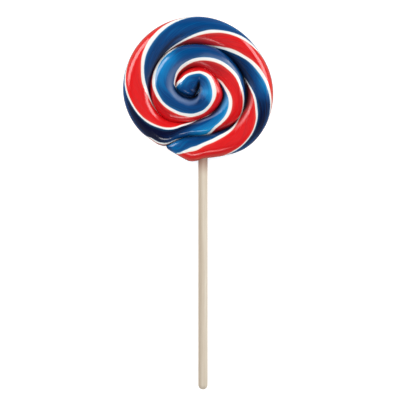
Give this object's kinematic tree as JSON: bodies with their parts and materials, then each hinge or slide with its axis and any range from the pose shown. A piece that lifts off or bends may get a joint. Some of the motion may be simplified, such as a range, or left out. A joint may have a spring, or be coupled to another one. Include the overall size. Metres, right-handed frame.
{
  "type": "lollipop",
  "caption": "Round swirl lollipop: a striped rope of boiled sugar coiled flat and fused, its tapered cut end showing at the edge, on a thin wooden stick. It lies on its back.",
  "frame": {"origin": "middle of the lollipop's box, on the surface that its back lies on", "axes": "+Z out of the face, +Y from the stick's free end towards the candy, +X to the right as the face is seen with the stick below"},
  "size_m": [0.0768, 0.1908, 0.012],
  "materials": {
    "striped_sugar": "glossy boiled sugar, blue and red bands with thin white stripes between them",
    "birch": "bare sanded dowel with fine long grain"
  },
  "bodies": {
    "root": {"candy": "striped_sugar", "stick": "birch"}
  },
  "joints": []
}
